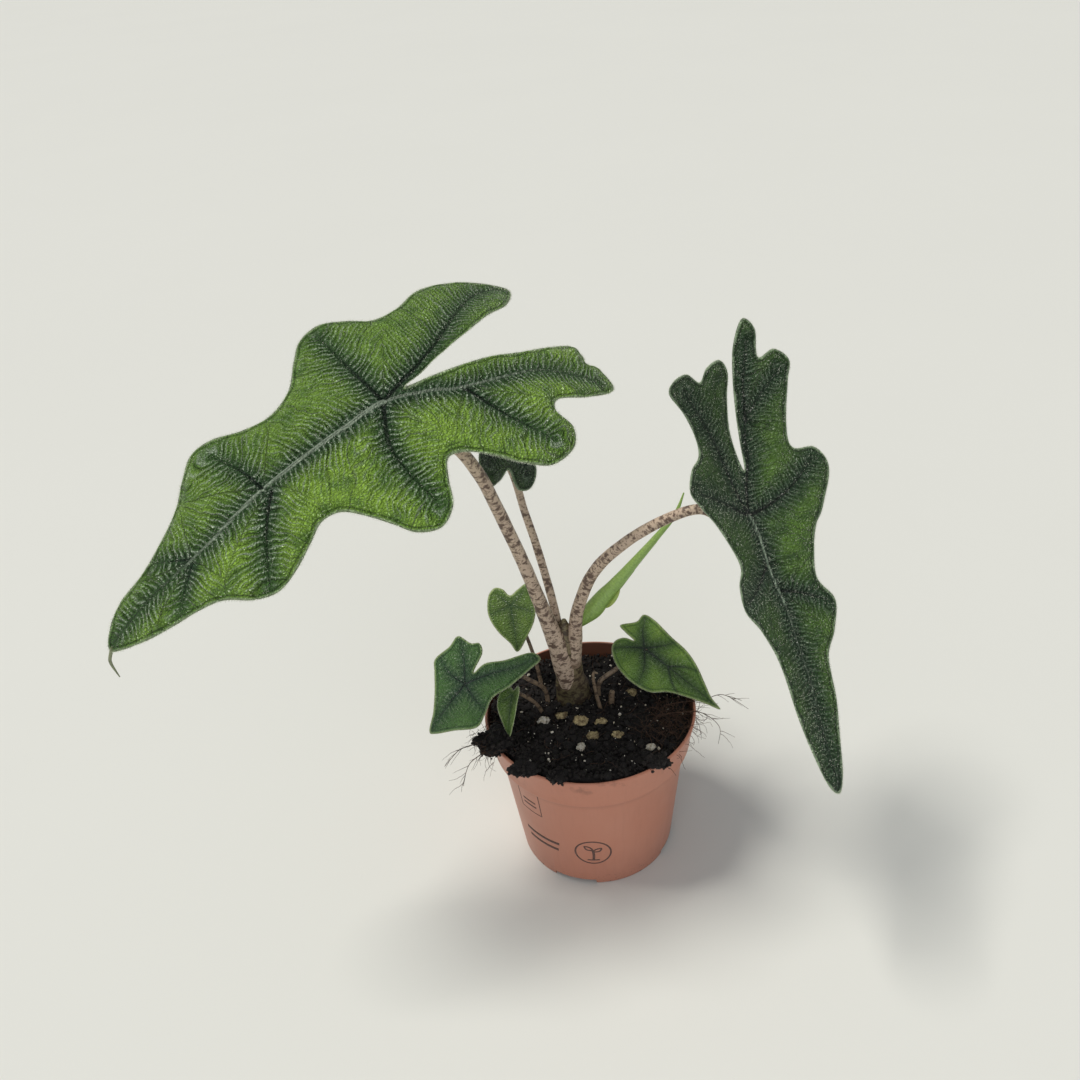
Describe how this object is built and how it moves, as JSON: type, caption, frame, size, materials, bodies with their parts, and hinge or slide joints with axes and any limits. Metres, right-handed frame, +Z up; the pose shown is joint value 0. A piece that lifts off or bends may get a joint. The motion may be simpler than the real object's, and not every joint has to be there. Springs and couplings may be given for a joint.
{
  "type": "potted plant",
  "caption": "Young alocasia with lobed, bristly leaves on mottled stalks, standing in soil in a small round terracotta-coloured nursery pot.",
  "frame": {"origin": "centre of the pot's flat base", "axes": "+Z up along the pot's axis, +X towards the tall upright leaf, -X towards the large spread leaf, -Y towards the front"},
  "size_m": [0.1725, 0.1097, 0.1653],
  "materials": {
    "pot_plastic": "satin terracotta-coloured plastic",
    "soil": "loose dark peat",
    "petiole": "satin, pale with dark bands",
    "dry_stalk": "matte dry brown",
    "leaf_bright": "satin leaf, bright between dark veins",
    "leaf_dark": "satin dark leaf",
    "leaf_young": "satin young leaf",
    "perlite": "matte white grain",
    "bark": "matte wood chip",
    "root": "matte fibre"
  },
  "bodies": {
    "root": {"pot": "pot_plastic", "soil": "soil", "soil_clump_left": "soil", "soil_clump_front": "soil", "soil_clump_front_low": "soil", "soil_clump_right": "soil", "stem": "petiole", "petiole_large_left": "petiole", "petiole_tall_right": "petiole", "petiole_back": "petiole", "petiole_small_right": "petiole", "petiole_small_left": "dry_stalk", "petiole_heart": "dry_stalk", "petiole_curled": "dry_stalk", "leaf_large_left": "leaf_bright", "leaf_tall_right": "leaf_dark", "leaf_back": "leaf_dark", "leaf_rolled_new": "leaf_young", "leaf_small_right": "leaf_young", "leaf_small_left": "leaf_young", "leaf_heart": "leaf_young", "leaf_curled": "leaf_young", "leaf_dry_tip": "dry_stalk", "sprout": "leaf_young", "cut_stub": "bark", "perlite_a": "perlite", "perlite_b": "perlite", "perlite_c": "perlite", "bark_a": "bark", "bark_b": "bark", "bark_c": "bark", "bark_d": "bark", "bark_e": "bark", "bark_f": "bark", "root_left_a": "root", "root_left_b": "root", "root_right_a": "root", "root_right_b": "root"}
  },
  "joints": []
}
